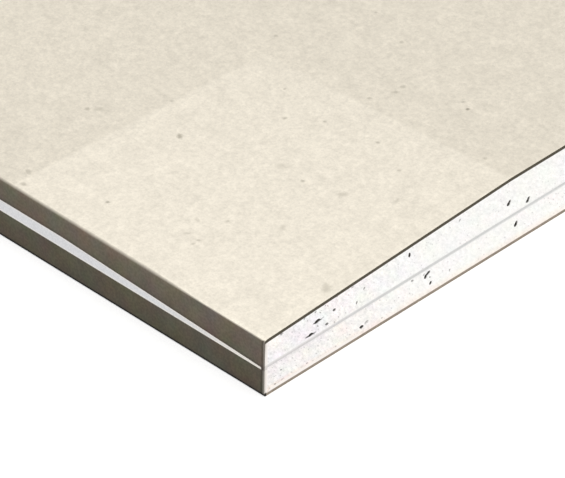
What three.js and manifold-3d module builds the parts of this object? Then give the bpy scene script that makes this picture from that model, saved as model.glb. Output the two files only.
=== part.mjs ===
// Sound-damping drywall sheet: two paper-faced gypsum boards laminated on a thin damping layer.
//
// Millimetres, +Z up. The sheet lies flat on its back, face up, centred on X and Y, with its back on Z = 0.
// +X runs along the length, between the two cut ends, and +Y runs across the width, between the two
// tapered long edges.

import * as THREE from "three";
import { mergeVertices } from "three/addons/utils/BufferGeometryUtils.js";
import Module from "manifold-3d";

const wasm = await Module();
wasm.setup();

// ---- Driving dimensions -------------------------------------------------------------------------

const sheetLength = 2438.4; // 8 ft
const sheetWidth = 1219.2; // 4 ft
const sheetThickness = 15.875; // 5/8 in, over both boards and their papers

const taperWidth = 65; // how far the taper reaches in from each long edge
const taperDepth = 2.95; // how much thinner the sheet is at its long edges
const edgeRadius = 0.9; // outside radius of the face paper where it folds over a long edge
const creaseRadius = 0.3; // outside radius of an edge paper where it is creased under the back board

const facePaperThickness = 0.72; // also the thickness of the edge papers, which are the same stock
const backPaperThickness = 0.63;

const dampingUnderside = 6.4; // height of the damping layer above the floor
const dampingThickness = 0.75;

const seamDrop = 0.55; // how far below the damping layer the folds of the two boards meet
const seamBeadAtEnds = 0.5; // height of the squeezed-out bead where it starts, near a cut end
const seamBeadAlong = 2.5; // its height along the rest of the long edge
const seamBeadRunOut = 53; // length over which the bead opens to its full height
const seamBeadSetback = 0.9; // how far the bead stays back from the cut end

const edgeFlapWidth = 25; // how far an edge paper laps in under its core
const backPaperSetback = 1; // how far the back paper stays in from a long edge
const backPaperSkive = 0.9; // width over which its edge is thinned away, where the flap steps up over it

const foldFacets = 6; // facets in the quarter round of a fold

// ---- Values worked out from them ----------------------------------------------------------------

const halfLength = sheetLength / 2;
const halfWidth = sheetWidth / 2;
const taperAngle = Math.atan2(taperDepth, taperWidth);
const dampingTop = dampingUnderside + dampingThickness;
const seamHeight = dampingUnderside - seamDrop;
const stepAngle = Math.atan2(backPaperThickness, backPaperSkive);

// ---- Sections, drawn as seen from the +X end: x is across the sheet, y is up ----------------------

// One long edge as seen in section, from its foot up over the folded arris and the taper to the flat
// face. An inset moves the whole line inwards, square to the surface.
function edgeLine(foot, inset) {
  const edgeTop = sheetThickness - taperDepth;
  const arrisX = -halfWidth + edgeRadius;
  const arrisY = edgeTop + edgeRadius * Math.tan(taperAngle) - edgeRadius / Math.cos(taperAngle);
  const shoulderX = -halfWidth + taperWidth + inset * Math.tan(taperAngle / 2);

  const line = new THREE.Path();
  line.moveTo(-halfWidth + inset, foot);
  line.lineTo(-halfWidth + inset, arrisY);
  line.absarc(arrisX, arrisY, edgeRadius - inset, Math.PI, Math.PI / 2 + taperAngle, true);
  line.lineTo(shoulderX, sheetThickness - inset);
  return line.getPoints(foldFacets / 2);
}

// The face of the sheet from one long edge to the other.
function faceLine(foot, inset) {
  const left = edgeLine(foot, inset);
  return [...left, ...mirrored(left)];
}

// The fold under the left long edge of the back board, from the seam down round the crease, in along
// the underside, and up over the skived edge of the back paper into the flap. An inset that is more
// than the crease's radius turns it into a sharp corner, and one that reaches past the start of the
// step puts that corner on the step.
function flapLine(inset) {
  const radius = creaseRadius - inset;
  const sideX = -halfWidth + inset;
  const stepStart = -halfWidth + backPaperSetback - inset * Math.tan(stepAngle / 2);
  const cornerY = inset + Math.max(sideX - stepStart, 0) * Math.tan(stepAngle);

  const line = new THREE.Path();
  line.moveTo(sideX, seamHeight);
  if (radius > 0) {
    line.lineTo(sideX, creaseRadius);
    line.absarc(-halfWidth + creaseRadius, creaseRadius, radius, Math.PI, Math.PI * 1.5, false);
  } else {
    line.lineTo(sideX, cornerY);
  }
  line.lineTo(Math.max(sideX, stepStart), cornerY);
  line.lineTo(stepStart + backPaperSkive, backPaperThickness + inset);
  line.lineTo(-halfWidth + edgeFlapWidth, backPaperThickness + inset);
  return line.getPoints(foldFacets / 2);
}

// The same points on the other side of the sheet, in the order that carries an outline on round.
function mirrored(points) {
  return points.map((point) => new THREE.Vector2(-point.x, point.y)).reverse();
}

// ---- Solids ---------------------------------------------------------------------------------------

// Turns of the axes: a section is drawn in x and y, and extruded along z.
const alongLength = new THREE.Matrix4().makeBasis(
  new THREE.Vector3(0, 1, 0), new THREE.Vector3(0, 0, 1), new THREE.Vector3(1, 0, 0),
);
const acrossWidth = new THREE.Matrix4().makeBasis(
  new THREE.Vector3(1, 0, 0), new THREE.Vector3(0, 0, 1), new THREE.Vector3(0, -1, 0),
);

// A section in the YZ plane, run over the whole length.
function runLength(points) {
  const geometry = new THREE.ExtrudeGeometry(new THREE.Shape(points), {
    depth: sheetLength, bevelEnabled: false,
  });
  return geometry.translate(0, 0, -halfLength).applyMatrix4(alongLength);
}

// An outline in the XZ plane, run across the sheet between two places on Y.
function runAcross(points, fromY, toY) {
  const geometry = new THREE.ExtrudeGeometry(new THREE.Shape(points), {
    depth: toY - fromY, bevelEnabled: false,
  });
  return geometry.translate(0, 0, -toY).applyMatrix4(acrossWidth);
}

function toSolid(geometry) {
  const bare = geometry.clone();
  bare.deleteAttribute("normal");
  bare.deleteAttribute("uv");
  const merged = mergeVertices(bare);
  return new wasm.Manifold(new wasm.Mesh({
    numProp: 3,
    vertProperties: new Float32Array(merged.getAttribute("position").array),
    triVerts: new Uint32Array(merged.getIndex().array),
  }));
}

function toGeometry(solid) {
  const mesh = solid.getMesh();
  const indexed = new THREE.BufferGeometry();
  indexed.setAttribute("position", new THREE.BufferAttribute(mesh.vertProperties, 3));
  indexed.setIndex(new THREE.BufferAttribute(mesh.triVerts, 1));
  const geometry = indexed.toNonIndexed();
  geometry.computeVertexNormals();
  return geometry;
}

// The gap between the folds of the two boards, seen from a long edge: pinched at the cut ends, and
// opening to its full height along the edge.
function seamGapOutline() {
  const gapEnd = halfLength - seamBeadSetback;
  const fullFrom = halfLength - seamBeadRunOut;
  const right = [
    new THREE.Vector2(gapEnd, seamHeight),
    new THREE.Vector2(gapEnd, seamHeight + seamBeadAtEnds),
    new THREE.Vector2(fullFrom, seamHeight + seamBeadAlong),
  ];
  return [...right, ...mirrored(right)];
}

// The face paper covers the face and both tapers, and folds down over the long edges to the seam.
function facePaperGeometry() {
  const outside = faceLine(seamHeight, 0);
  const inside = faceLine(seamHeight, facePaperThickness);
  const folded = toSolid(runLength([...outside, ...inside.reverse()]));
  const gap = toSolid(runAcross(seamGapOutline(), -halfWidth - edgeRadius, halfWidth + edgeRadius));
  return toGeometry(folded.subtract(gap));
}

function faceCoreGeometry() {
  return runLength(faceLine(dampingTop, facePaperThickness));
}

// The damping layer, with the bead that squeezes out into the gap between the folds.
function dampingLayerGeometry() {
  const reach = halfWidth - facePaperThickness;
  const layer = toSolid(runLength([
    new THREE.Vector2(-reach, dampingUnderside),
    new THREE.Vector2(reach, dampingUnderside),
    new THREE.Vector2(reach, dampingTop),
    new THREE.Vector2(-reach, dampingTop),
  ]));
  const rightBead = toSolid(runAcross(seamGapOutline(), reach, halfWidth));
  const leftBead = toSolid(runAcross(seamGapOutline(), -halfWidth, -reach));
  return toGeometry(layer.add(rightBead).add(leftBead));
}

// The back core is rebated underneath for the flaps of the two edge papers.
function backCoreGeometry() {
  const left = [
    new THREE.Vector2(-halfWidth + facePaperThickness, dampingUnderside),
    ...flapLine(facePaperThickness),
    new THREE.Vector2(-halfWidth + edgeFlapWidth, backPaperThickness),
  ];
  return runLength([...left, ...mirrored(left)]);
}

// An edge paper wraps one long edge of the back board and laps in underneath it.
function edgePaperGeometry(side) {
  const left = [...flapLine(0), ...flapLine(facePaperThickness).reverse()];
  return runLength(side < 0 ? left : mirrored(left));
}

// The back paper covers the flaps, flush with the creases, and its skived edges lie against their steps.
function backPaperGeometry() {
  const reach = halfWidth - backPaperSetback;
  const topReach = reach - backPaperSkive;
  return runLength([
    new THREE.Vector2(-reach, 0),
    new THREE.Vector2(reach, 0),
    new THREE.Vector2(topReach, backPaperThickness),
    new THREE.Vector2(-topReach, backPaperThickness),
  ]);
}

// ---- Finishes -------------------------------------------------------------------------------------

const creamPaper = { color: 0xeee7d7, roughness: 0.85, metalness: 0 };
const taupePaper = { color: 0x645c50, roughness: 0.85, metalness: 0 };
const brownPaper = { color: 0x9c8468, roughness: 0.9, metalness: 0 };
const gypsum = { color: 0xfaf8fa, roughness: 0.9, metalness: 0 };
const polymer = { color: 0xdedee2, roughness: 0.5, metalness: 0 };

// ---- The sheet ------------------------------------------------------------------------------------

const group = new THREE.Group();

function addPiece(name, geometry, finish) {
  const piece = new THREE.Mesh(geometry, new THREE.MeshStandardMaterial(finish));
  piece.name = name;
  group.add(piece);
}

addPiece("face_paper", facePaperGeometry(), creamPaper);
addPiece("face_core", faceCoreGeometry(), gypsum);
addPiece("damping_layer", dampingLayerGeometry(), polymer);
addPiece("back_core", backCoreGeometry(), gypsum);
addPiece("edge_paper_left", edgePaperGeometry(-1), taupePaper);
addPiece("edge_paper_right", edgePaperGeometry(1), taupePaper);
addPiece("back_paper", backPaperGeometry(), brownPaper);

export default group;
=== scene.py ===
"""Laminated drywall sheet: papers, aerated gypsum with its pores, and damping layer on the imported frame."""

import math
from collections import namedtuple

import bmesh
import bpy
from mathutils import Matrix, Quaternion, Vector


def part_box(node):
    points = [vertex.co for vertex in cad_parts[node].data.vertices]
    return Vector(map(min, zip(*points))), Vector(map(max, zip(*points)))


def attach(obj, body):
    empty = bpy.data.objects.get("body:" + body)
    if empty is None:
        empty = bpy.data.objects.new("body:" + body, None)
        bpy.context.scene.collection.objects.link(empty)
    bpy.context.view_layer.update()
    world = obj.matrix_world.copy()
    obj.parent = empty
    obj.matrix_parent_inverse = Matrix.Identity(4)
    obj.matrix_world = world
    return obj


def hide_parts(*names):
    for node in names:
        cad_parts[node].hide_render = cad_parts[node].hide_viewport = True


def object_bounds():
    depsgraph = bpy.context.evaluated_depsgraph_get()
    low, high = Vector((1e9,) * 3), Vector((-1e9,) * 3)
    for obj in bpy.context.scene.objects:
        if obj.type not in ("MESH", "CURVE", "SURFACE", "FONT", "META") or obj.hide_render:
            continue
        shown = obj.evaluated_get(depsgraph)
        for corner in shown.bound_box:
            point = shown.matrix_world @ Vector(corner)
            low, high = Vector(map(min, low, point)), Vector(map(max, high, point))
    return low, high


bl_info = {
    "name": "Laminated drywall sheet",
    "version": (1, 0, 0),
    "blender": (4, 5, 0),
    "location": "3D View > Sidebar > Drywall",
    "description": "Finishes and air pores for a paper-faced gypsum sheet lying on its back",
    "category": "Object",
}

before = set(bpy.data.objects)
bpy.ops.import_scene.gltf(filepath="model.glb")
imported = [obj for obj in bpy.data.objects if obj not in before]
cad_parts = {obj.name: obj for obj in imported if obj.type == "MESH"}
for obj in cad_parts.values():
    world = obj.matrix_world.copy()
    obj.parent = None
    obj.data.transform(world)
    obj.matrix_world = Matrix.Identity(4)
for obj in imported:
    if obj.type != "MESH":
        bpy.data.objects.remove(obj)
CAD_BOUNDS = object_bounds()

MM = 0.001
BODY = "root"

# ---- Sizes that the frame gives, in metres ----

HALF_LENGTH = CAD_BOUNDS[1].x
HALF_WIDTH = CAD_BOUNDS[1].y
THICKNESS = CAD_BOUNDS[1].z
PAPER = HALF_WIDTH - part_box("face_core")[1].y
SEAM_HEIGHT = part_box("face_paper")[0].z
BACK_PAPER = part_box("back_paper")[1].z
BEAD_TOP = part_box("damping_layer")[1].z
DAMPING_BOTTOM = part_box("back_core")[1].z
DAMPING_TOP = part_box("face_core")[0].z
LAYER_MIDDLE = (DAMPING_BOTTOM + DAMPING_TOP) / 2
HALF_LAYER = (DAMPING_TOP - DAMPING_BOTTOM) / 2


def linear(hex_colour):
    """An sRGB hex colour, such as EEE7D7, as the linear RGB that Blender's colours hold, and opaque."""
    channels = [int(hex_colour[i:i + 2], 16) / 255 for i in (0, 2, 4)]
    return (*(c / 12.92 if c <= 0.04045 else ((c + 0.055) / 1.055) ** 2.4 for c in channels), 1.0)


# ---- Small details of the finishes ----

FOLD_PLY_HIGH = linear("ACA399")  # outer ply in the cut through an upper fold, just under the face
FOLD_PLY_LOW = linear("E8E2DC")  # the same ply lower down
EDGE_PLY = linear("D6CEC6")  # outer ply in the cut through an edge paper
DARK_FOOT_PLY = linear("1E1B16")  # foot of an edge paper's cut, near black
KRAFT_TINT = (1.0, 0.84, 0.72, 1.0)  # what the kraft leaves in the foot of the core
WARM_TINT = (1.05, 1.02, 0.96, 1.0)  # warmth of the seam bead near a cut end

# Two sets of speckle in the gypsum: their spacing and radius are in millimetres, and their shift in metres.
Speckle = namedtuple("Speckle", "spacing radius shift colour")
SPECKLES = (
    Speckle(1.0, 0.35, 2.3, linear("8F8C8E")),
    Speckle(0.8, 0.3, 4.9, linear("928C8A")),
)

# Middle of the place where the gypsum crumbles most, around the largest pores of the viewed corner.
CRUMBLY_PLACE = (HALF_LENGTH, 15.5 * MM - HALF_WIDTH, 10.3 * MM)


# ---- Marks on the corner that the camera sees, chosen one by one ----
# Both lists are in millimetres and degrees, measured from the corner at +X, -Y.

Pore = namedtuple("Pore", "from_edge height length width depth turn")

CORNER_PORES = (
    Pore(13.65, 10.05, 1.6, 0.9, 0.5, 6),
    Pore(13.8, 9.95, 2.9, 0.55, 0.2, 0),
    Pore(15.15, 10.05, 0.9, 0.5, 0.07, 0),
    Pore(11.95, 7.85, 1.3, 0.8, 0.5, 0),
    Pore(11.9, 7.76, 3.0, 0.55, 0.2, -2),
    Pore(13.25, 7.75, 0.9, 0.5, 0.09, 0),
    Pore(16.25, 8.0, 1.15, 0.7, 0.15, -20),
    Pore(18.18, 10.24, 1.05, 0.75, 0.17, -25),
    Pore(24.1, 8.72, 0.8, 0.6, 0.155, 83),
    Pore(26.0, 11.0, 0.7, 0.5, 0.13, 73),
    Pore(25.45, 2.4, 1.2, 0.75, 0.5, -15),
    Pore(26.8, 2.75, 1.4, 1.0, 0.06, 0),
    Pore(37.97, 12.32, 1.2, 0.65, 0.5, 96),
    Pore(42.45, 4.95, 1.1, 0.8, 0.5, 82),
    Pore(43.1, 5.4, 1.4, 0.75, 0.5, 26),
    Pore(42.0, 5.6, 0.7, 0.5, 0.1, 60),
    Pore(43.85, 2.75, 0.85, 0.7, 0.5, 70),
    Pore(38.9, 5.85, 0.9, 0.6, 0.11, -20),
    Pore(49.0, 3.0, 0.75, 0.5, 0.11, 80),
    Pore(64.7, 10.05, 0.95, 0.95, 0.4, 60),
    Pore(65.0, 10.4, 1.1, 0.85, 0.17, 64),
    Pore(70.0, 8.05, 0.95, 0.9, 0.3, 70),
    Pore(70.25, 8.45, 1.1, 0.85, 0.17, 66),
    Pore(66.85, 4.15, 1.0, 0.95, 0.5, 60),
    Pore(67.05, 4.5, 1.05, 0.85, 0.18, 70),
    Pore(51.4, 13.2, 0.8, 0.6, 0.11, 63),
    Pore(4.4, 12.1, 1.1, 0.55, 0.1, -7),
    Pore(13.2, 12.4, 0.7, 0.5, 0.1, 39),
    Pore(7.0, 11.1, 0.75, 0.42, 0.045, -40),
    Pore(2.8, 1.5, 0.7, 0.45, 0.1, -24),
    Pore(4.3, 3.9, 0.75, 0.4, 0.11, -40),
    Pore(22.9, 12.9, 0.9, 0.4, 0.09, 0),
    Pore(4.65, 1.55, 0.8, 0.45, 0.055, -14),
    Pore(11.1, 1.7, 0.7, 0.5, 0.09, -21),
    Pore(18.9, 12.9, 0.6, 0.4, 0.1, 0),
    Pore(30.9, 1.5, 0.8, 0.45, 0.08, -27),
    Pore(10.3, 12.4, 0.6, 0.4, 0.1, 84),
    Pore(43.7, 4.15, 0.8, 0.45, 0.08, -48),
)

Fleck = namedtuple("Fleck", "from_end from_edge length width turn strength")

CORNER_FLECKS = (
    Fleck(54.2, 32.1, 1.9, 1.3, -40, 0.65),
    Fleck(20.7, 75.3, 1.0, 0.9, 45, 0.75),
    Fleck(2.4, 18.5, 3.4, 1.9, -45, 0.36),
    Fleck(19.5, 40.3, 2.7, 1.5, 50, 0.35),
    Fleck(65.2, 2.1, 1.9, 1.1, 5, 0.42),
    Fleck(67.3, 5.3, 1.9, 1.1, -20, 0.36),
    Fleck(49.9, 9.0, 1.0, 0.8, 40, 0.6),
    Fleck(37.4, 53.8, 0.9, 0.7, 40, 0.45),
    Fleck(25.6, 56.0, 0.9, 0.7, 20, 0.45),
    Fleck(27.8, 38.1, 1.0, 0.9, 30, 0.5),
    Fleck(43.6, 49.4, 1.1, 0.9, 40, 0.42),
    Fleck(72.9, 26.2, 1.4, 1.2, 30, 0.4),
    Fleck(71.3, 27.6, 2.6, 1.3, 41, 0.28),
    Fleck(34.1, 69.6, 1.7, 1.1, 40, 0.31),
    Fleck(34.3, 71.8, 1.5, 1.1, 60, 0.35),
    Fleck(29.6, 20.1, 1.2, 0.8, 70, 0.3),
    Fleck(33.9, 16.5, 1.8, 1.0, -11, 0.28),
    Fleck(29.5, 11.1, 1.1, 0.7, 80, 0.33),
    Fleck(29.5, 12.5, 1.0, 0.8, 40, 0.36),
    Fleck(16.8, 52.6, 0.9, 0.7, 40, 0.34),
    Fleck(10.8, 45.7, 2.2, 1.0, -75, 0.26),
    Fleck(20.7, 25.8, 2.1, 1.2, -60, 0.24),
    Fleck(32.4, 12.6, 1.8, 0.7, 46, 0.25),
    Fleck(33.6, 38.9, 3.6, 2.0, 45, 0.2),
    Fleck(36.2, 64.7, 1.1, 0.9, 50, 0.38),
    Fleck(49.9, 55.9, 0.8, 0.7, 50, 0.34),
    Fleck(22.9, 76.4, 0.9, 0.7, 50, 0.3),
    Fleck(62.9, 38.8, 0.9, 0.8, 45, 0.24),
    Fleck(7.6, 66.2, 1.2, 1.0, 45, 0.32),
)


# ---- What a user would change ----

def length_property(name, description, millimetres):
    return bpy.props.FloatProperty(
        name=name, description=description, default=millimetres * MM, min=0, unit="LENGTH", precision=5,
    )


def colour_property(name, description, hex_colour):
    return bpy.props.FloatVectorProperty(
        name=name, description=description, default=linear(hex_colour), subtype="COLOR", size=4, min=0, max=1,
    )


def angle_property(name, description, degrees):
    return bpy.props.FloatProperty(
        name=name, description=description, default=math.radians(degrees), subtype="ANGLE",
    )


class DrywallSizes(bpy.types.PropertyGroup):
    taper_width: length_property("Taper width", "How far the taper reaches in from a long edge", 65)
    taper_depth: length_property("Taper depth", "How much thinner the sheet is at a long edge", 2.95)
    bead_setback: length_property("Bead setback", "How far the seam bead stays back from a cut end", 0.9)
    bead_run_out: length_property("Bead run-out", "Length over which the seam bead opens", 53)
    bead_at_ends: length_property("Bead at ends", "Height of the seam bead where it starts", 0.5)
    pore_spacing: length_property("Pore spacing", "Least distance between pores on a cut end", 7)
    pore_length: length_property("Pore length", "Length of the largest pores", 2.2)
    pore_width: length_property("Pore width", "Width of the largest pores", 0.9)
    pore_roughness: length_property("Pore roughness", "How far a pore's wall strays from smooth", 0.12)
    chosen_zone: length_property("Chosen zone", "Width at the viewed corner with chosen pores only", 90)
    seed: bpy.props.IntProperty(name="Seed", description="Places the pores", default=7)


class DrywallColours(bpy.types.PropertyGroup):
    # face, face_mid and face_shaded hold the painted light and shade of the panel at the viewed corner.
    face: colour_property("Face", "Cream face paper at the viewed corner", "F3EBDB")
    face_mid: colour_property("Face, faded", "Cream face paper where the lighter panel ends", "E8E0D0")
    face_shaded: colour_property("Face, shaded", "Cream face paper just past the lighter panel", "E3DBCB")
    face_open: colour_property("Face, open", "Cream face paper over the rest of the sheet", "E9E1D1")
    bark: colour_property("Fleck", "Bark and ink flecks in the face paper", "8E8878")
    edge: colour_property("Edge", "Taupe inner plies of the paper, on the upper fold", "635B4E")
    edge_low: colour_property("Lower edge", "Taupe edge paper of the back board", "534E41")
    cut: colour_property("Cut paper", "Taupe plies where a blade has cut the face paper", "504A3D")
    dusted: colour_property("Dusted cut", "Cut plies of the folds, white with gypsum dust", "FAF4EE")
    back: colour_property("Back", "Brown kraft back paper", "958A7C")
    gypsum: colour_property("Gypsum", "Aerated gypsum core", "FBFAF7")
    gypsum_near: colour_property("Gypsum near edges", "Upper core beside the long edges", "FAF7F6")
    gypsum_low: colour_property("Lower gypsum", "Lower core beside the long edges", "F7F3F1")
    # The pore colour is painted shade inside the pores.
    pore: colour_property("Pore", "Inside of a pore", "42403C")
    bead: colour_property("Bead", "Skin of the damping bead along its middle", "DEDEE0")
    bead_rim: colour_property("Bead rim", "Skin of the damping bead beside the papers", "E6E3E0")
    damping: colour_property("Damping layer", "Cut end of the damping layer", "D0D0CE")
    damping_near: colour_property("Damping near edges", "Its cut end beside the long edges", "D3CFCE")
    floor: colour_property("Floor", "Studio floor", "F6F6F6")


class DrywallStage(bpy.types.PropertyGroup):
    azimuth: angle_property("Azimuth", "Turn of the camera about the sheet, from -Y towards +X", 44.1)
    elevation: angle_property("Elevation", "Height of the camera above the horizon", 36.8)
    roll: angle_property("Roll", "Turn of the camera about its own axis", 0.684)
    aim_from_end: length_property("Aim from end", "The camera's aim, in from the cut end", 16.66)
    aim_from_edge: length_property("Aim from edge", "The camera's aim, in from the long edge", 21.45)
    distance: length_property("Distance", "From the camera to its aim", 1472.4)
    lens: bpy.props.FloatProperty(name="Lens", description="Focal length", default=509.73, unit="CAMERA")
    sky: bpy.props.FloatProperty(
        name="Sky", description="Light from all round, as a share of white", default=0.6,
    )
    key_towards: bpy.props.FloatVectorProperty(
        name="Key", description="Towards the key light, as long as its share of white",
        default=(0.22, -0.17, 0.4),
    )
    key_width: angle_property("Key width", "Angle that the key light spans, which softens its shadows", 40)
    floor_lift: bpy.props.FloatProperty(
        name="Floor lift", description="Brightening of the floor for the eye only", default=0.25,
    )


# ---- Materials ----

# Sockets that go by number, because some of their names recur on their node: those of a map range, of a
# colour mix and of a random number.
VALUE, START, END, AT_START, AT_END = range(5)
MIX_SHARE, MIX_FROM, MIX_TO, MIX_RESULT = 0, 6, 7, 2
RANDOM_LEAST, RANDOM_MOST, RANDOM_SEED, RANDOM_RESULT = 2, 3, 8, 1

# Settings of a mix that multiplies colours, and of a map range with no corners.
MULTIPLIED = {"data_type": "RGBA", "blend_type": "MULTIPLY"}
SMOOTH = {"interpolation_type": "SMOOTHSTEP"}

NOISE_LOW, NOISE_HIGH = 0.3, 0.7  # nearly all values of a noise lie between these
FACES_END = 0.5  # where a normal has more than this along X, the surface belongs to a cut end


def add(tree, kind, inputs=None, output=0, **settings):
    """Adds a node with its settings, and its values or links by input. Returns the output asked for."""
    node = tree.nodes.new(kind)
    for name, value in settings.items():
        setattr(node, name, value)
    for key, value in (inputs or {}).items():
        if isinstance(value, bpy.types.NodeSocket):
            tree.links.new(value, node.inputs[key])
        else:
            node.inputs[key].default_value = value
    return node.outputs[output] if node.outputs else node


def new_material(name):
    material = bpy.data.materials.new(name)
    material.use_nodes = True
    material.node_tree.nodes.clear()
    return material, material.node_tree


def surface(tree, colour, roughness, specular, height=None, relief=0.0):
    """Joins a colour, and a height with its relief in metres where there is one, to the shader."""
    inputs = {"Base Color": colour, "Roughness": roughness, "Specular IOR Level": specular}
    if height is not None:
        inputs["Normal"] = add(tree, "ShaderNodeBump", {"Height": height, "Distance": relief})
    shader = add(tree, "ShaderNodeBsdfPrincipled", inputs)
    add(tree, "ShaderNodeOutputMaterial", {"Surface": shader})


Place = namedtuple("Place", "point from_end from_edge height cut")


def place_on_sheet(tree):
    """Where the shaded point is: its distances in from the cut end and the long edge, its height, and
    whether it is on a cut end (1) or not (0)."""
    point = add(tree, "ShaderNodeTexCoord", output="Object")
    parts = add(tree, "ShaderNodeSeparateXYZ", {0: point}).node.outputs
    distances = []
    for axis, half in (("X", HALF_LENGTH), ("Y", HALF_WIDTH)):
        outward = add(tree, "ShaderNodeMath", {0: parts[axis]}, operation="ABSOLUTE")
        distances.append(add(tree, "ShaderNodeMath", {0: half, 1: outward}, operation="SUBTRACT"))
    facing = add(tree, "ShaderNodeSeparateXYZ", {0: add(tree, "ShaderNodeTexCoord", output="Normal")})
    facing = add(tree, "ShaderNodeMath", {0: facing}, operation="ABSOLUTE")
    cut = add(tree, "ShaderNodeMath", {0: facing, 1: FACES_END}, operation="GREATER_THAN")
    return Place(point, *distances, parts["Z"], cut)


def blended(tree, colour, other, value, start=0.0, end=1.0, most=1.0):
    """Turns a colour into another, or most of the way, as a value goes from start to end."""
    share = add(tree, "ShaderNodeMapRange", {VALUE: value, START: start, END: end, AT_END: most})
    sockets = {MIX_SHARE: share, MIX_FROM: colour, MIX_TO: other}
    return add(tree, "ShaderNodeMix", sockets, MIX_RESULT, data_type="RGBA")


def on_cut_end(tree, place, colour, cut_colour):
    """The second colour on the cut ends, and the first everywhere else."""
    return blended(tree, colour, cut_colour, place.cut)


def graded(tree, colour, value, start=0.0, end=1.0, at_start=1.0, at_end=1.0):
    """Multiplies a colour by a grey that goes from at_start to at_end as a value goes from start to end."""
    sockets = {VALUE: value, START: start, END: end, AT_START: at_start, AT_END: at_end}
    grey = add(tree, "ShaderNodeMapRange", sockets)
    sockets = {MIX_SHARE: 1, MIX_FROM: colour, MIX_TO: grey}
    return add(tree, "ShaderNodeMix", sockets, MIX_RESULT, **MULTIPLIED)


def clouded(tree, colour, noise, contrast):
    """Makes a colour lighter and darker with a noise, by up to the contrast."""
    return graded(tree, colour, noise, NOISE_LOW, NOISE_HIGH, at_start=1 - contrast, at_end=1 + contrast)


def grained(tree, colour, point, size, octaves, contrast):
    """Clouds a colour with grains of a size, and with as many sizes as the octaves, each half the last."""
    grain = add(
        tree, "ShaderNodeTexNoise",
        {"Vector": point, "Scale": 1 / size, "Detail": octaves - 1, "Roughness": 1.0},
    )
    return clouded(tree, colour, grain, contrast)


def tinted(tree, colour, point, size, strength):
    """Lets the channels of a colour stray apart, in blotches up to a size."""
    blotches = add(
        tree, "ShaderNodeTexNoise",
        {"Vector": point, "Scale": 1 / size, "Detail": 2.0, "Roughness": 0.5}, "Color",
    )
    sockets = {0: blotches, 1: [2 * strength] * 3, 2: [1 - strength] * 3}
    tint = add(tree, "ShaderNodeVectorMath", sockets, operation="MULTIPLY_ADD")
    sockets = {MIX_SHARE: 1, MIX_FROM: colour, MIX_TO: tint}
    return add(tree, "ShaderNodeMix", sockets, MIX_RESULT, **MULTIPLIED)


def within(tree, value, low, high, soft):
    """1 where a value lies between low and high, falling to 0 over the soft distance outside them."""
    rise, fall = (
        add(tree, "ShaderNodeMapRange", {VALUE: value, START: outside, END: inside}, **SMOOTH)
        for outside, inside in ((low - soft, low), (high + soft, high))
    )
    return add(tree, "ShaderNodeMath", {0: rise, 1: fall}, operation="MULTIPLY")


def spots(tree, point, spacing, radius, share, shift):
    """Soft round spots of up to a radius, in a share of cells spacing apart: 1 in a spot, 0 outside.

    The shift, in metres, keeps the cells of one set of spots off those of another.
    """
    solid_share = 0.3  # of a spot's radius: the rest is its soft rim
    least_size = 0.001  # as a share of the spacing: a cell whose spot would be smaller has none
    shifted = add(tree, "ShaderNodeMapping", {"Vector": point, "Location": (shift, shift, shift)})
    cells = add(tree, "ShaderNodeTexVoronoi", {"Vector": shifted, "Scale": 1 / spacing}).node.outputs
    chance = add(tree, "ShaderNodeSeparateColor", {0: cells["Color"]})
    size = add(tree, "ShaderNodeMapRange", {VALUE: chance, START: 1 - share, AT_END: radius / spacing})
    solid = add(tree, "ShaderNodeMath", {0: size, 1: solid_share}, operation="MULTIPLY")
    inside = add(
        tree, "ShaderNodeMapRange",
        {VALUE: cells["Distance"], START: solid, END: size, AT_START: 1, AT_END: 0}, **SMOOTH,
    )
    present = add(tree, "ShaderNodeMath", {0: size, 1: least_size}, operation="GREATER_THAN")
    return add(tree, "ShaderNodeMath", {0: inside, 1: present}, operation="MULTIPLY")


def depth_below_face(tree, place, sizes):
    """How far a place is below the sloping face, as if the arris were sharp."""
    taper = add(
        tree, "ShaderNodeMapRange",
        {VALUE: place.from_edge, END: sizes.taper_width, AT_START: sizes.taper_depth, AT_END: 0},
    )
    top = add(tree, "ShaderNodeMath", {0: THICKNESS, 1: taper}, operation="SUBTRACT")
    return add(tree, "ShaderNodeMath", {0: top, 1: place.height}, operation="SUBTRACT")


def seam_top(tree, place, sizes):
    """Height of the seam gap's upper lip: pinched near the cut end, then rising to the full bead."""
    sockets = {VALUE: place.from_end, START: sizes.bead_setback, END: sizes.bead_run_out}
    sockets.update({AT_START: SEAM_HEIGHT + sizes.bead_at_ends, AT_END: BEAD_TOP})
    return add(tree, "ShaderNodeMapRange", sockets)


def height_over_layer(tree, place):
    """Height over the visible middle of the damping layer, which sags a little towards a long edge."""
    at_edge, inside = LAYER_MIDDLE - 0.27 * MM, LAYER_MIDDLE + 0.15 * MM
    middle = add(
        tree, "ShaderNodeMapRange", {VALUE: place.from_edge, END: 65 * MM, AT_START: at_edge, AT_END: inside},
    )
    return add(tree, "ShaderNodeMath", {0: place.height, 1: middle}, operation="SUBTRACT")


def layer_smear(tree, place):
    """Where the blade has smeared the damping layer over what is beside it: 1 on it, 0 away from it."""
    return within(tree, height_over_layer(tree, place), -HALF_LAYER, HALF_LAYER, soft=0.3 * MM)


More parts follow.
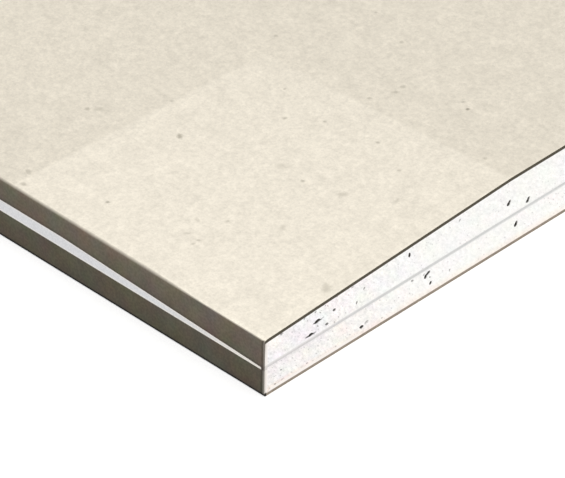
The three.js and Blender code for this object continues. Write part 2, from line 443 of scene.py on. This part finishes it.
def corner_flecks(tree, point):
    """How strongly each point is covered by the chosen flecks, which have ragged outlines."""
    stray = 0.2 * MM  # how far an outline strays in or out
    rim, solid = 1.3, 0.2  # the shares of a fleck's radii where its cover starts and is full
    ragged = add(
        tree, "ShaderNodeTexNoise", {"Vector": point, "Scale": 1 / (0.5 * MM), "Detail": 1.0}, "Color",
    )
    sockets = {0: ragged, 1: [2 * stray] * 3, 2: [-stray] * 3}
    offset = add(tree, "ShaderNodeVectorMath", sockets, operation="MULTIPLY_ADD")
    strayed = add(tree, "ShaderNodeVectorMath", {0: point, 1: offset}, operation="ADD")
    cover = 0.0
    for fleck in CORNER_FLECKS:
        centre = (HALF_LENGTH - fleck.from_end * MM, fleck.from_edge * MM - HALF_WIDTH, 0)
        turn = (0, 0, math.radians(fleck.turn))
        radii = (fleck.length / 2 * MM, fleck.width / 2 * MM, 1)
        sockets = {"Vector": strayed, "Location": centre, "Rotation": turn, "Scale": radii}
        local = add(tree, "ShaderNodeMapping", sockets, vector_type="TEXTURE")
        reach = add(tree, "ShaderNodeVectorMath", {0: local}, "Value", operation="LENGTH")
        sockets = {VALUE: reach, START: rim, END: solid, AT_END: fleck.strength}
        inside = add(tree, "ShaderNodeMapRange", sockets, **SMOOTH)
        cover = add(tree, "ShaderNodeMath", {0: inside, 1: cover}, operation="MAXIMUM")
    return cover


def taupe_plies(tree, place, colour, foot, dark_band_at, dust, dusting):
    """Grey-brown inner plies of recycled paper: dull and even, and clouded a little green and red.

    A fold is painted darker towards its foot, as painted shade. Beside the cut end a band a few tenths of a
    millimetre wide is darker still, and what is left of the fold outside it is pale with dust.
    """
    colour = tinted(tree, colour, place.point, size=5 * MM, strength=0.24)
    # Painted shade: each fold darker towards its foot.
    colour = graded(tree, colour, place.height, foot, foot + 6.5 * MM, at_start=0.9, at_end=1.1)
    colour = grained(tree, colour, place.point, size=0.5 * MM, octaves=1, contrast=0.1)
    colour = grained(tree, colour, place.point, size=3 * MM, octaves=1, contrast=0.04)
    # A band beside the cut end that is darker still.
    dark_band = within(tree, place.from_end, dark_band_at - 0.15 * MM, dark_band_at + 0.15 * MM, soft=0.25 * MM)
    colour = graded(tree, colour, dark_band, at_end=0.65)
    return blended(tree, colour, dust, place.from_end, start=dark_band_at - 0.1 * MM, end=0, most=dusting)


def dusted_fold(tree, place, outer, dusted):
    """The cut through a fold: its outer ply shows at the long edge, and the rest is white with dust."""
    return blended(tree, outer, dusted, place.from_edge, end=0.55 * MM)


def face_cream(tree, point, colours, sizes):
    """Cream of the face. At the viewed corner it has a lighter panel of painted light, standing for the taper
    catching more light, which reaches in as far as the taper, has sides that lean a little, and fades away
    from the corner. Just past its sides the face is painted darker, as painted shade."""
    parts = add(tree, "ShaderNodeSeparateXYZ", {0: point}).node.outputs
    in_from_end = add(tree, "ShaderNodeMath", {0: HALF_LENGTH, 1: parts["X"]}, operation="SUBTRACT")
    in_from_edge = add(tree, "ShaderNodeMath", {0: HALF_WIDTH, 1: parts["Y"]}, operation="ADD")

    # The fade goes with the distance along a diagonal, to which the two ways count for unequal shares.
    share_along, share_across = 0.8, 1.1
    across = add(tree, "ShaderNodeMath", {0: in_from_edge, 1: share_across}, operation="MULTIPLY")
    diagonal = add(
        tree, "ShaderNodeMath", {0: in_from_end, 1: share_along, 2: across}, operation="MULTIPLY_ADD",
    )
    # Painted light: the cream is lightest at the corner and fades along the diagonal.
    cream = blended(tree, colours.face, colours.face_mid, diagonal, end=120 * MM)

    # The panel's two sides: where each runs, how much it leans, and how far a point is past it.
    past_sides = []
    for inward, along, lean, side in (
        (in_from_edge, in_from_end, 0.064, sizes.taper_width),
        (in_from_end, in_from_edge, 0.1, sizes.taper_width + 1.6 * MM),
    ):
        reach = add(tree, "ShaderNodeMath", {0: along, 1: lean, 2: inward}, operation="MULTIPLY_ADD")
        past_sides.append(add(tree, "ShaderNodeMath", {0: reach, 1: side}, operation="SUBTRACT"))
    past = add(tree, "ShaderNodeMath", {0: past_sides[0], 1: past_sides[1]}, operation="MAXIMUM")
    # Painted shade: the face just past the panel's sides is darker.
    cream = blended(tree, cream, colours.face_shaded, past, start=-0.4 * MM, end=0.4 * MM)
    cream = graded(tree, cream, diagonal, start=90 * MM, end=140 * MM, at_end=0.985)

    # Further off, the face has one even tone.
    beyond = add(tree, "ShaderNodeMath", {0: in_from_end, 1: in_from_edge}, operation="MAXIMUM")
    return blended(tree, cream, colours.face_open, beyond, start=120 * MM, end=420 * MM)


def pulp_and_flecks(tree, cream, place, pulp, bark):
    """Clouds and grain of the pulp, with pale spots of filler, and flecks of bark and ink.

    The face is a little lighter beside the cut end and over the arris, where the light grazes it.
    """
    cream = clouded(tree, cream, pulp, 0.09)
    cream = grained(tree, cream, place.point, size=1.2 * MM, octaves=3, contrast=0.085)
    pale = spots(tree, place.point, spacing=8 * MM, radius=0.9 * MM, share=0.5, shift=5.7)
    cream = graded(tree, cream, pale, at_end=1.14)
    cream = graded(tree, cream, place.from_end, start=0.1 * MM, end=0.7 * MM, at_start=1.045)
    cream = graded(tree, cream, place.from_edge, start=0.5 * MM, end=1.1 * MM, at_start=1.03)
    dark = spots(tree, place.point, spacing=9 * MM, radius=0.75 * MM, share=0.45, shift=3.1)
    strength = 0.3
    dark = add(tree, "ShaderNodeMath", {0: dark, 1: strength}, operation="MULTIPLY")
    dark = add(tree, "ShaderNodeMath", {0: dark, 1: corner_flecks(tree, place.point)}, operation="MAXIMUM")
    return blended(tree, cream, bark, dark)


def past_skin(tree, place, sizes):
    """How far a point is past the line where the cream skin stops, from -1 before its blur to 1 behind.

    The line is on the rounded arris: further in past the first stretch from the cut end, where the fold
    was pressed less hard and the line is softer.
    """
    eased_line, blur, eased_blur = 0.17 * MM, 0.1 * MM, 0.22 * MM
    eased = add(tree, "ShaderNodeMapRange", {VALUE: place.from_end, START: 17 * MM, END: 30 * MM})
    line = add(
        tree, "ShaderNodeMapRange",
        {VALUE: place.from_end, END: sizes.taper_width, AT_START: 0.16 * MM, AT_END: 0.35 * MM},
    )
    line = add(tree, "ShaderNodeMath", {0: eased, 1: eased_line, 2: line}, operation="MULTIPLY_ADD")
    nick = add(
        tree, "ShaderNodeMapRange", {VALUE: place.from_end, END: 0.8 * MM, AT_START: 0.12 * MM, AT_END: 0},
    )
    line = add(tree, "ShaderNodeMath", {0: line, 1: nick}, operation="ADD")
    blur = add(tree, "ShaderNodeMath", {0: eased, 1: eased_blur, 2: blur}, operation="MULTIPLY_ADD")
    past = add(tree, "ShaderNodeMath", {0: place.from_edge, 1: line}, operation="SUBTRACT")
    return add(tree, "ShaderNodeMath", {0: past, 1: blur}, operation="DIVIDE")


def upper_fold(tree, place, colours, sizes):
    """Taupe of the face paper where it is folded down, with painted shade along the lip of the seam gap."""
    taupe = taupe_plies(
        tree, place, colours.edge, foot=SEAM_HEIGHT, dark_band_at=0.6 * MM, dust=colours.dusted, dusting=0.28,
    )
    lip = seam_top(tree, place, sizes)
    above_lip = add(tree, "ShaderNodeMath", {0: place.height, 1: lip}, operation="SUBTRACT")
    # Painted shade along the lip of the seam gap.
    return graded(tree, taupe, above_lip, start=0.2 * MM, end=0.8 * MM, at_start=0.72)


def face_paper_cut(tree, place, colours, sizes):
    """Cut end of the face paper: the ply over the face is a clean dark line, and the fold beside the core
    is dusted white, with the damping layer smeared over it."""
    depth = depth_below_face(tree, place, sizes)
    outer = blended(tree, FOLD_PLY_HIGH, FOLD_PLY_LOW, depth, start=PAPER, end=4.2 * MM)
    fold = dusted_fold(tree, place, outer, colours.dusted)
    fold = graded(tree, fold, layer_smear(tree, place), at_end=0.78)
    return blended(tree, colours.cut, fold, depth, start=PAPER, end=PAPER + 0.15 * MM)


def face_paper_material(colours, sizes):
    """Face paper, calendered: smooth, matt cream, clouded by its pulp and flecked with bark.

    Its inner plies are taupe, and show on the folds over the long edges and where a blade cut it.
    """
    material, tree = new_material("calendered_cream_face_paper")
    place = place_on_sheet(tree)
    # Clouds of every size from half a centimetre down.
    pulp = add(
        tree, "ShaderNodeTexNoise",
        {"Vector": place.point, "Scale": 1 / (5 * MM), "Detail": 5.0, "Roughness": 0.95},
    )
    cream = face_cream(tree, place.point, colours, sizes)
    cream = pulp_and_flecks(tree, cream, place, pulp, colours.bark)
    fold = upper_fold(tree, place, colours, sizes)
    colour = blended(tree, fold, cream, past_skin(tree, place, sizes), start=-1, end=1)

    # The blade has drawn a hair of the dark plies round the corner of the arris.
    lean = 0.2
    drawn = add(
        tree, "ShaderNodeMath", {0: place.from_edge, 1: lean, 2: place.from_end}, operation="MULTIPLY_ADD",
    )
    colour = blended(tree, colours.cut, colour, drawn, start=0.1 * MM, end=0.2 * MM)

    colour = on_cut_end(tree, place, colour, face_paper_cut(tree, place, colours, sizes))
    surface(tree, colour, roughness=0.85, specular=0.25, height=pulp, relief=0.03 * MM)
    return material


def edge_paper_material(colours):
    """The same plies on the edges of the back board: darker taupe, painted near black at the fold's foot as
    shade.

    Its cut ends are dusted white, apart from a near-black dot at the fold and the kraft's brown beside it.
    """
    material, tree = new_material("taupe_edge_paper")
    place = place_on_sheet(tree)
    taupe = taupe_plies(
        tree, place, colours.edge_low, foot=0, dark_band_at=0.75 * MM, dust=colours.dusted, dusting=0.25,
    )
    # Painted shade: the fold is near black over its lowest half millimetre, where it meets the floor.
    taupe = graded(tree, taupe, place.height, start=0.45 * MM, end=0.75 * MM, at_start=0.08)
    cut_colour = dusted_fold(tree, place, EDGE_PLY, colours.dusted)
    cut_colour = blended(
        tree, colours.back, cut_colour, place.height, start=BACK_PAPER - 0.1 * MM, end=BACK_PAPER + 0.1 * MM,
    )
    # The near-black dot, which is taller than it is wide.
    dot_slimness = 0.6
    low = add(tree, "ShaderNodeMath", {0: place.height, 1: dot_slimness}, operation="MULTIPLY")
    corner = add(tree, "ShaderNodeMath", {0: low, 1: place.from_edge}, operation="MAXIMUM")
    cut_colour = blended(tree, DARK_FOOT_PLY, cut_colour, corner, start=0.4 * MM, end=0.55 * MM)
    surface(tree, on_cut_end(tree, place, taupe, cut_colour), roughness=0.85, specular=0.25)
    return material


def back_paper_material(colours):
    """Unbleached kraft liner: rougher brown paper with clouded pulp and long fibres."""
    material, tree = new_material("brown_kraft_back_paper")
    place = place_on_sheet(tree)
    lengthwise = add(tree, "ShaderNodeMapping", {"Vector": place.point, "Scale": (0.2, 1, 1)})
    fibre = add(
        tree, "ShaderNodeTexNoise",
        {"Vector": lengthwise, "Scale": 1 / (0.8 * MM), "Detail": 3.0, "Roughness": 0.65},
    )
    colour = grained(tree, colours.back, place.point, size=9 * MM, octaves=4, contrast=0.1)
    colour = clouded(tree, colour, fibre, 0.07)
    surface(tree, colour, roughness=0.9, specular=0.2, height=fibre, relief=0.03 * MM)
    return material


def speckle_strength(tree, place):
    """The speckle is strongest in the lower board beside the long edges, and around the largest pores."""
    in_lower, in_upper = (
        add(tree, "ShaderNodeMapRange", {VALUE: place.from_edge, END: 60 * MM, AT_START: rim, AT_END: inside})
        for rim, inside in ((0.46, 0.3), (0.2, 0.26))
    )
    away = add(
        tree, "ShaderNodeVectorMath", {0: place.point, 1: CRUMBLY_PLACE}, "Value", operation="DISTANCE",
    )
    crumbly = add(
        tree, "ShaderNodeMapRange", {VALUE: away, START: 2 * MM, END: 8 * MM, AT_START: 0.5, AT_END: 0},
    )
    in_upper = add(tree, "ShaderNodeMath", {0: in_upper, 1: crumbly}, operation="ADD")
    return add(
        tree, "ShaderNodeMapRange",
        {VALUE: place.height, START: DAMPING_BOTTOM, END: DAMPING_TOP, AT_START: in_lower, AT_END: in_upper},
    )


def crumbled(tree, white, place):
    """Grain, faint tints and speckle of cut gypsum, which is calmer away from the long edges."""
    # The blade's stroke has drawn the crumb out along one diagonal of the cut and packed it along the other.
    crumb = add(
        tree, "ShaderNodeMapping",
        {"Vector": place.point, "Rotation": (math.radians(43), 0, 0), "Scale": (1, 0.735, 1.36)},
        vector_type="TEXTURE",
    )
    blotchy = tinted(tree, white, crumb, size=4 * MM, strength=0.072)
    white = blended(tree, blotchy, white, place.from_edge, start=20 * MM, end=45 * MM, most=0.5)
    grainy = grained(tree, white, crumb, size=1.0 * MM, octaves=3, contrast=0.14)
    white = blended(tree, grainy, white, place.from_edge, start=20 * MM, end=40 * MM, most=0.35)
    strength = speckle_strength(tree, place)
    for speckle in SPECKLES:
        dots = spots(tree, crumb, speckle.spacing * MM, speckle.radius * MM, share=0.6, shift=speckle.shift)
        dots = add(tree, "ShaderNodeMath", {0: dots, 1: strength}, operation="MULTIPLY")
        white = blended(tree, white, speckle.colour, dots)
    return white


def kraft_stained(tree, white, place):
    """The foot of the core has taken up a little of the kraft's colour, most beside the long edges."""
    foot = add(
        tree, "ShaderNodeMapRange",
        {VALUE: place.height, START: BACK_PAPER, END: BACK_PAPER + 1.7 * MM, AT_START: 1, AT_END: 0},
    )
    browned = add(
        tree, "ShaderNodeMapRange", {VALUE: place.from_edge, END: 32 * MM, AT_START: 1, AT_END: 0.47},
    )
    foot = add(tree, "ShaderNodeMath", {0: foot, 1: browned}, operation="MULTIPLY")
    sockets = {MIX_SHARE: foot, MIX_FROM: white, MIX_TO: KRAFT_TINT}
    return add(tree, "ShaderNodeMix", sockets, MIX_RESULT, **MULTIPLIED)


def gypsum_material(colours, sizes):
    """Aerated gypsum, cut: chalky near-white with fine grey and pink speckle, and painted dark inside its
    pores, as their shade.
    """
    material, tree = new_material("aerated_gypsum")
    place = place_on_sheet(tree)
    white = blended(
        tree, colours.gypsum_low, colours.gypsum_near, place.height, start=DAMPING_BOTTOM, end=DAMPING_TOP,
    )
    white = blended(tree, white, colours.gypsum, place.from_edge, start=8 * MM, end=45 * MM)
    white = crumbled(tree, white, place)
    white = kraft_stained(tree, white, place)
    white = graded(tree, white, layer_smear(tree, place), at_end=0.92)

    # Fibres of the cut papers cling to the top and the foot of the core.
    depth = depth_below_face(tree, place, sizes)
    white = blended(tree, colours.cut, white, depth, start=PAPER - 0.01 * MM, end=PAPER + 0.08 * MM)
    white = blended(tree, colours.back, white, place.height, start=BACK_PAPER, end=BACK_PAPER + 0.08 * MM)
    # Painted shade: the inside of a pore turns dark a little way below the cut.
    colour = blended(tree, white, colours.pore, place.from_end, start=0.01 * MM, end=0.15 * MM)
    surface(tree, colour, roughness=0.9, specular=0.2)
    return material


def bead_skin(tree, place, colours, sizes):
    """Skin of the seam bead: lighter beside the papers, warmer near the cut end, and shaded where the
    gap ends."""
    top = seam_top(tree, place, sizes)
    below_top = add(tree, "ShaderNodeMath", {0: top, 1: place.height}, operation="SUBTRACT")
    above_foot = add(tree, "ShaderNodeMath", {0: place.height, 1: SEAM_HEIGHT}, operation="SUBTRACT")
    inset = add(tree, "ShaderNodeMath", {0: below_top, 1: above_foot}, operation="MINIMUM")
    bead = blended(tree, colours.bead_rim, colours.bead, inset, start=0.15 * MM, end=0.5 * MM)
    warm = add(
        tree, "ShaderNodeMapRange", {VALUE: place.from_end, END: 30 * MM, AT_START: 1, AT_END: 0},
    )
    sockets = {MIX_SHARE: warm, MIX_FROM: bead, MIX_TO: WARM_TINT}
    bead = add(tree, "ShaderNodeMix", sockets, MIX_RESULT, **MULTIPLIED)
    bead = grained(tree, bead, place.point, size=0.35 * MM, octaves=1, contrast=0.05)
    gap_end = sizes.bead_setback
    return graded(tree, bead, place.from_end, start=gap_end, end=gap_end + 0.5 * MM, at_start=0.7)


def layer_cut(tree, place, colours):
    """Cut end of the damping layer: neutral grey, a little warmer near the long edges, and dusted with
    gypsum above and below its middle."""
    off_middle = add(tree, "ShaderNodeMath", {0: height_over_layer(tree, place)}, operation="ABSOLUTE")
    layer = blended(tree, colours.damping_near, colours.damping, place.from_edge, start=10 * MM, end=35 * MM)
    layer = blended(tree, layer, colours.gypsum, off_middle, start=0.18 * MM, end=HALF_LAYER, most=0.45)
    return grained(tree, layer, place.point, size=0.8 * MM, octaves=3, contrast=0.06)


def damping_material(colours, sizes):
    """Viscoelastic polymer: a pale, smooth bead, and greyer where the blade cut it."""
    material, tree = new_material("viscoelastic_damping_polymer")
    place = place_on_sheet(tree)
    bead = bead_skin(tree, place, colours, sizes)
    colour = on_cut_end(tree, place, bead, layer_cut(tree, place, colours))
    surface(tree, colour, roughness=0.55, specular=0.35)
    return material


def floor_material(colours, lift):
    """Matt studio floor: near white, brightened for the eye only, so that it keeps the sheet's shadow."""
    material, tree = new_material("studio_floor")
    matt = add(tree, "ShaderNodeBsdfDiffuse", {"Color": colours.floor})
    seen = add(tree, "ShaderNodeLightPath", output="Is Camera Ray")
    strength = add(tree, "ShaderNodeMath", {0: seen, 1: lift}, operation="MULTIPLY")
    glow = add(tree, "ShaderNodeEmission", {"Strength": strength})
    both = add(tree, "ShaderNodeAddShader", {0: matt, 1: glow})
    add(tree, "ShaderNodeOutputMaterial", {"Surface": both})
    return material


# ---- Pores ----

# Scattered pores: how far apart they are tried, and the limits of the random numbers that give each its
# length (as the cube root of its share of the longest), its width (as a share of the widest) and its turn.
TRY_SPACING = 4 * MM
LENGTH_ROOTS = (0.55, 1.0)
WIDTH_SHARES = (0.6, 1.0)
TURNS = (-0.4, 1.8)  # radians

WALL_LUMPS = 0.5 * MM  # size of the lumps on a pore's wall


def scattered_pores(tree, given):
    """Points on the cut ends, outside the zone whose pores are chosen, with each pore's radii and turn."""
    normal = add(tree, "ShaderNodeSeparateXYZ", {0: add(tree, "GeometryNodeInputNormal")})
    facing = add(tree, "ShaderNodeMath", {0: normal}, operation="ABSOLUTE")
    on_cut = add(tree, "ShaderNodeMath", {0: facing, 1: FACES_END}, operation="GREATER_THAN")
    points = add(
        tree, "GeometryNodeDistributePointsOnFaces",
        {
            "Mesh": given["Core"], "Selection": on_cut, "Distance Min": given["Spacing"],
            "Density Max": 1 / TRY_SPACING ** 2, "Seed": given["Seed"],
        },
        distribute_method="POISSON",
    )
    position = add(tree, "ShaderNodeSeparateXYZ", {0: add(tree, "GeometryNodeInputPosition")}).node.outputs
    zone_end = add(tree, "ShaderNodeMath", {0: given["Chosen zone"], 1: HALF_WIDTH}, operation="SUBTRACT")
    near_edge = add(tree, "ShaderNodeMath", {0: position["Y"], 1: zone_end}, operation="LESS_THAN")
    at_end = add(tree, "ShaderNodeMath", {0: position["X"], 1: 0.0}, operation="GREATER_THAN")
    in_zone = add(tree, "FunctionNodeBooleanMath", {0: near_edge, 1: at_end}, operation="AND")
    points = add(
        tree, "GeometryNodeDeleteGeometry", {"Geometry": points, "Selection": in_zone}, domain="POINT",
    )

    length_root, width_share, turn = (
        add(
            tree, "FunctionNodeRandomValue", {RANDOM_LEAST: least, RANDOM_MOST: most, RANDOM_SEED: seed},
            RANDOM_RESULT, data_type="FLOAT",
        )
        for seed, (least, most) in enumerate((LENGTH_ROOTS, WIDTH_SHARES, TURNS), start=1)
    )
    length_share = add(tree, "ShaderNodeMath", {0: length_root, 1: 3}, operation="POWER")
    radii = []
    for measure, share in (("Length", length_share), ("Width", width_share)):
        across = add(tree, "ShaderNodeMath", {0: given[measure], 1: share}, operation="MULTIPLY")
        radii.append(add(tree, "ShaderNodeMath", {0: across, 1: 0.5}, operation="MULTIPLY"))
    least = add(tree, "ShaderNodeMath", {0: radii[1], 1: radii[0]}, operation="MINIMUM")
    radii = add(tree, "ShaderNodeCombineXYZ", {0: least, 1: radii[0], 2: least})
    for name, value, kind in (("radii", radii, "FLOAT_VECTOR"), ("turn", turn, "FLOAT")):
        points = add(
            tree, "GeometryNodeStoreNamedAttribute", {"Geometry": points, "Name": name, "Value": value},
            data_type=kind, domain="POINT",
        )
    return points


def rough_pores(tree, points, roughness):
    """A ball on each point, stretched to its radii and turned, with its wall moved by a noise."""
    radii = add(tree, "GeometryNodeInputNamedAttribute", {"Name": "radii"}, data_type="FLOAT_VECTOR")
    turn = add(tree, "GeometryNodeInputNamedAttribute", {"Name": "turn"}, data_type="FLOAT")
    about_x = add(tree, "ShaderNodeCombineXYZ", {0: turn})
    rotation = add(tree, "FunctionNodeEulerToRotation", {0: about_x})
    ball = add(tree, "GeometryNodeMeshIcoSphere", {"Radius": 1.0, "Subdivisions": 2})
    pores = add(
        tree, "GeometryNodeInstanceOnPoints",
        {"Points": points, "Instance": ball, "Rotation": rotation, "Scale": radii},
    )
    pores = add(tree, "GeometryNodeRealizeInstances", {"Geometry": pores})
    where = add(tree, "GeometryNodeInputPosition")
    wobble = add(
        tree, "ShaderNodeTexNoise", {"Vector": where, "Scale": 1 / WALL_LUMPS, "Detail": 1.0}, "Color",
    )
    centred = add(tree, "ShaderNodeVectorMath", {0: wobble, 1: (0.5, 0.5, 0.5)}, operation="SUBTRACT")
    offset = add(tree, "ShaderNodeVectorMath", {0: centred, "Scale": roughness}, operation="SCALE")
    return add(tree, "GeometryNodeSetPosition", {"Geometry": pores, "Offset": offset})


def pore_carver():
    """Geometry nodes that carve air pores into both cut ends of a gypsum core.

    Each pore is an ellipsoid with a rough wall, half sunk in the cut end: its radii are its depth, half
    its length and half its width, and it turns in the plane of the cut.
    """
    tree = bpy.data.node_groups.new("pore_carver", "GeometryNodeTree")
    sockets = {"Core": "Geometry", "Chosen pores": "Object", "Seed": "Int", "Material": "Material"}
    sockets.update(dict.fromkeys(("Spacing", "Length", "Width", "Roughness", "Chosen zone"), "Float"))
    for name, kind in sockets.items():
        tree.interface.new_socket(name, in_out="INPUT", socket_type=f"NodeSocket{kind}")
    tree.interface.new_socket("Core", in_out="OUTPUT", socket_type="NodeSocketGeometry")
    given = add(tree, "NodeGroupInput").node.outputs

    # Both kinds of pore together.
    chosen = add(tree, "GeometryNodeObjectInfo", {"Object": given["Chosen pores"]}, "Geometry")
    chosen = add(tree, "GeometryNodeMeshToPoints", {"Mesh": chosen})
    points = add(tree, "GeometryNodeJoinGeometry", {0: scattered_pores(tree, given)})
    tree.links.new(chosen, points.node.inputs[0])

    pores = rough_pores(tree, points, given["Roughness"])
    carved = add(
        tree, "GeometryNodeMeshBoolean",
        {"Mesh 1": given["Core"], "Mesh 2": pores, "Self Intersection": True},
        operation="DIFFERENCE", solver="EXACT",
    )
    carved = add(tree, "GeometryNodeRealizeInstances", {"Geometry": carved})
    carved = add(tree, "GeometryNodeSetMaterial", {"Geometry": carved, "Material": given["Material"]})
    add(tree, "NodeGroupOutput", {"Core": carved})
    return tree


def chosen_pores():
    """A loose point for each chosen pore, which holds its radii and its turn."""
    mesh = bpy.data.meshes.new("chosen_pores")
    places = [(HALF_LENGTH, pore.from_edge * MM - HALF_WIDTH, pore.height * MM) for pore in CORNER_PORES]
    mesh.from_pydata(places, [], [])
    mesh.attributes.new("radii", "FLOAT_VECTOR", "POINT")
    mesh.attributes.new("turn", "FLOAT", "POINT")
    for index, pore in enumerate(CORNER_PORES):
        radii = (pore.depth * MM, pore.length / 2 * MM, pore.width / 2 * MM)
        mesh.attributes["radii"].data[index].vector = radii
        mesh.attributes["turn"].data[index].value = math.radians(pore.turn)
    points = bpy.data.objects.new("chosen_pores", mesh)
    bpy.context.scene.collection.objects.link(points)
    return points


def pored_core(node_name, carver, values):
    """A copy of a core with its pores carved, as a plain mesh in place of the CAD node."""
    # The CAD mesh is loose triangles: its doubles are merged, and its flat faces made whole.
    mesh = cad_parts[node_name].data.copy()
    shape = bmesh.new()
    shape.from_mesh(mesh)
    bmesh.ops.remove_doubles(shape, verts=shape.verts, dist=0.001 * MM)
    bmesh.ops.dissolve_limit(shape, angle_limit=math.radians(0.01), verts=shape.verts, edges=shape.edges)
    shape.to_mesh(mesh)
    shape.free()
    core = bpy.data.objects.new(f"pored_{node_name}", mesh)
    bpy.context.scene.collection.objects.link(core)
    modifier = core.modifiers.new("pores", "NODES")
    modifier.node_group = carver
    for item in carver.interface.items_tree:
        if item.in_out == "INPUT" and item.name in values:
            modifier[item.identifier] = values[item.name]
    depsgraph = bpy.context.evaluated_depsgraph_get()
    carved = bpy.data.meshes.new_from_object(core.evaluated_get(depsgraph), depsgraph=depsgraph)
    core.modifiers.clear()
    core.data = carved
    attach(core, BODY)
    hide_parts(node_name)
    return core


# ---- Stage ----

FLOOR_SIDE = 400.0  # metres, which puts the floor's rim out of sight


def lay_floor(scene, stage):
    half = FLOOR_SIDE / 2
    corners = [(-half, -half, 0), (half, -half, 0), (half, half, 0), (-half, half, 0)]
    mesh = bpy.data.meshes.new("studio_floor")
    mesh.from_pydata(corners, [], [(0, 1, 2, 3)])
    mesh.materials.append(floor_material(scene.drywall_colours, stage.floor_lift))
    floor = bpy.data.objects.new("studio_floor", mesh)
    scene.collection.objects.link(floor)


def set_world(scene, stage):
    """A world that looks white to the eye, in mirrors and through glass, and lights the sheet less."""
    world = bpy.data.worlds.new("studio")
    world.use_nodes = True
    tree = world.node_tree
    tree.nodes.clear()
    path = add(tree, "ShaderNodeLightPath").node.outputs
    seen = path["Is Camera Ray"]
    for ray in ("Is Glossy Ray", "Is Transmission Ray"):
        seen = add(tree, "ShaderNodeMath", {0: seen, 1: path[ray]}, operation="MAXIMUM")
    strength = add(tree, "ShaderNodeMapRange", {VALUE: seen, AT_START: stage.sky})
    sky = add(tree, "ShaderNodeBackground", {"Color": (1, 1, 1, 1), "Strength": strength})
    add(tree, "ShaderNodeOutputWorld", {"Surface": sky})
    scene.world = world


def set_key(scene, stage):
    """The key light. A sun of pi watts per square metre makes a white surface that faces it white."""
    towards = Vector(stage.key_towards)
    key = bpy.data.lights.new("key", "SUN")
    key.energy = math.pi * towards.length
    key.angle = stage.key_width
    key_object = bpy.data.objects.new("key", key)
    key_object.rotation_euler = towards.to_track_quat("Z", "Y").to_euler()
    scene.collection.objects.link(key_object)


def set_camera(scene, stage):
    aim = Vector((HALF_LENGTH - stage.aim_from_end, stage.aim_from_edge - HALF_WIDTH, THICKNESS))
    back = Vector((
        math.sin(stage.azimuth) * math.cos(stage.elevation),
        -math.cos(stage.azimuth) * math.cos(stage.elevation),
        math.sin(stage.elevation),
    ))
    camera = bpy.data.cameras.new("camera")
    camera.lens = stage.lens
    camera.clip_start = 0.1
    camera_object = bpy.data.objects.new("camera", camera)
    camera_object.location = aim + back * stage.distance
    upright = back.to_track_quat("Z", "Y")
    camera_object.rotation_euler = (upright @ Quaternion((0, 0, 1), stage.roll)).to_euler()
    scene.collection.objects.link(camera_object)
    scene.camera = camera_object


# ---- Operators ----

def dress(node_name, material):
    """Gives a CAD node its finish."""
    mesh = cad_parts[node_name].data
    mesh.materials.clear()
    mesh.materials.append(material)


class DRYWALL_OT_papers(bpy.types.Operator):
    """Finish the face paper, the two edge papers and the back paper"""

    bl_idname = "drywall.papers"
    bl_label = "Papers"

    def execute(self, context):
        sizes, colours = context.scene.drywall_sizes, context.scene.drywall_colours
        dress("face_paper", face_paper_material(colours, sizes))
        taupe = edge_paper_material(colours)
        dress("edge_paper_left", taupe)
        dress("edge_paper_right", taupe)
        dress("back_paper", back_paper_material(colours))
        return {"FINISHED"}


class DRYWALL_OT_cores(bpy.types.Operator):
    """Carve the pores into the cut ends of the two gypsum cores, and finish them"""

    bl_idname = "drywall.cores"
    bl_label = "Gypsum cores"

    def execute(self, context):
        sizes, colours = context.scene.drywall_sizes, context.scene.drywall_colours
        carver = pore_carver()
        chosen = chosen_pores()
        gypsum = gypsum_material(colours, sizes)
        for node_name in ("face_core", "back_core"):
            values = {
                "Chosen pores": chosen, "Spacing": sizes.pore_spacing, "Length": sizes.pore_length,
                "Width": sizes.pore_width, "Roughness": sizes.pore_roughness,
                "Chosen zone": sizes.chosen_zone, "Seed": sizes.seed, "Material": gypsum,
            }
            pored_core(node_name, carver, values)
        bpy.data.objects.remove(chosen)
        return {"FINISHED"}


class DRYWALL_OT_damping_layer(bpy.types.Operator):
    """Finish the damping layer and its seam bead"""

    bl_idname = "drywall.damping_layer"
    bl_label = "Damping layer"

    def execute(self, context):
        sizes, colours = context.scene.drywall_sizes, context.scene.drywall_colours
        dress("damping_layer", damping_material(colours, sizes))
        return {"FINISHED"}


class DRYWALL_OT_stage(bpy.types.Operator):
    """Lay the studio floor, and set the world, the key light and the camera"""

    bl_idname = "drywall.stage"
    bl_label = "Stage"

    def execute(self, context):
        scene = context.scene
        stage = scene.drywall_stage
        lay_floor(scene, stage)
        set_world(scene, stage)
        set_key(scene, stage)
        set_camera(scene, stage)
        scene.view_settings.view_transform = "Standard"
        return {"FINISHED"}


class DRYWALL_PT_sheet(bpy.types.Panel):
    bl_idname = "DRYWALL_PT_sheet"
    bl_label = "Drywall sheet"
    bl_space_type = "VIEW_3D"
    bl_region_type = "UI"
    bl_category = "Drywall"

    def draw(self, context):
        scene = context.scene
        for group in (scene.drywall_sizes, scene.drywall_colours, scene.drywall_stage):
            box = self.layout.box()
            for name in group.__annotations__:
                box.prop(group, name)
        for operator in OPERATORS:
            self.layout.operator(operator.bl_idname)


OPERATORS = (DRYWALL_OT_papers, DRYWALL_OT_cores, DRYWALL_OT_damping_layer, DRYWALL_OT_stage)
GROUPS = {"drywall_sizes": DrywallSizes, "drywall_colours": DrywallColours, "drywall_stage": DrywallStage}
CLASSES = (*GROUPS.values(), *OPERATORS, DRYWALL_PT_sheet)


def register():
    for cls in CLASSES:
        bpy.utils.register_class(cls)
    for name, group in GROUPS.items():
        setattr(bpy.types.Scene, name, bpy.props.PointerProperty(type=group))


def unregister():
    for name in GROUPS:
        delattr(bpy.types.Scene, name)
    for cls in reversed(CLASSES):
        bpy.utils.unregister_class(cls)


def main():
    register()
    bpy.ops.drywall.papers()
    bpy.ops.drywall.cores()
    bpy.ops.drywall.damping_layer()
    bpy.ops.drywall.stage()


if __name__ == "__main__":
    main()
